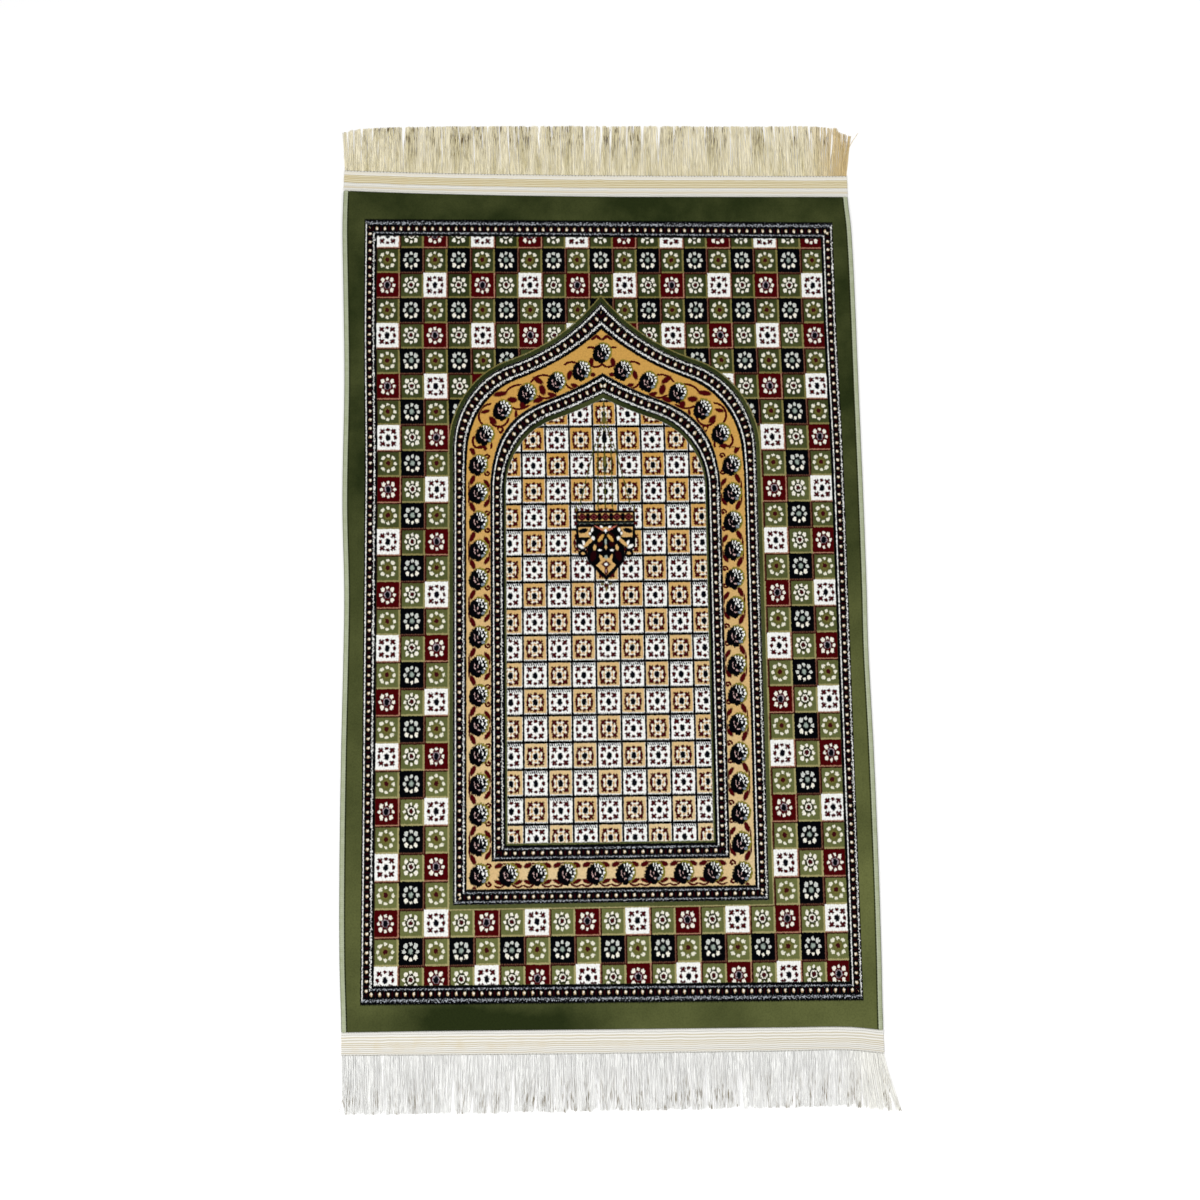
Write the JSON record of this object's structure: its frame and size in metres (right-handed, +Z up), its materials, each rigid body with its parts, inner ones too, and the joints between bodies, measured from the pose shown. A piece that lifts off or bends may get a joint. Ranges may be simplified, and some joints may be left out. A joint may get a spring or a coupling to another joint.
{
  "type": "prayer rug",
  "caption": "Flat pile prayer rug with overcast long edges, ribbed headings and loose fringes at both ends, laid on a floor.",
  "frame": {"origin": "under the middle of the rug's outline, on the plane it lies on", "axes": "+X across the rug to its right, +Y along the rug towards the point of the arch in its pattern, +Z up out of the pile"},
  "size_m": [0.6996, 1.2996, 0.006],
  "materials": {
    "pile": "cut pile in green, dark red, gold, cream and black, with a plain woven back",
    "binding": "light green overcast yarn",
    "heading": "off-white ribbed and braided cotton with tan lines",
    "fringe_cream": "loose cream cotton threads",
    "fringe_white": "loose white cotton threads"
  },
  "bodies": {
    "root": {"rug_cloth": "pile", "binding_left": "binding", "binding_right": "binding", "heading_far": "heading", "heading_near": "heading", "fringe_far": "fringe_cream", "fringe_near": "fringe_white"}
  },
  "joints": []
}
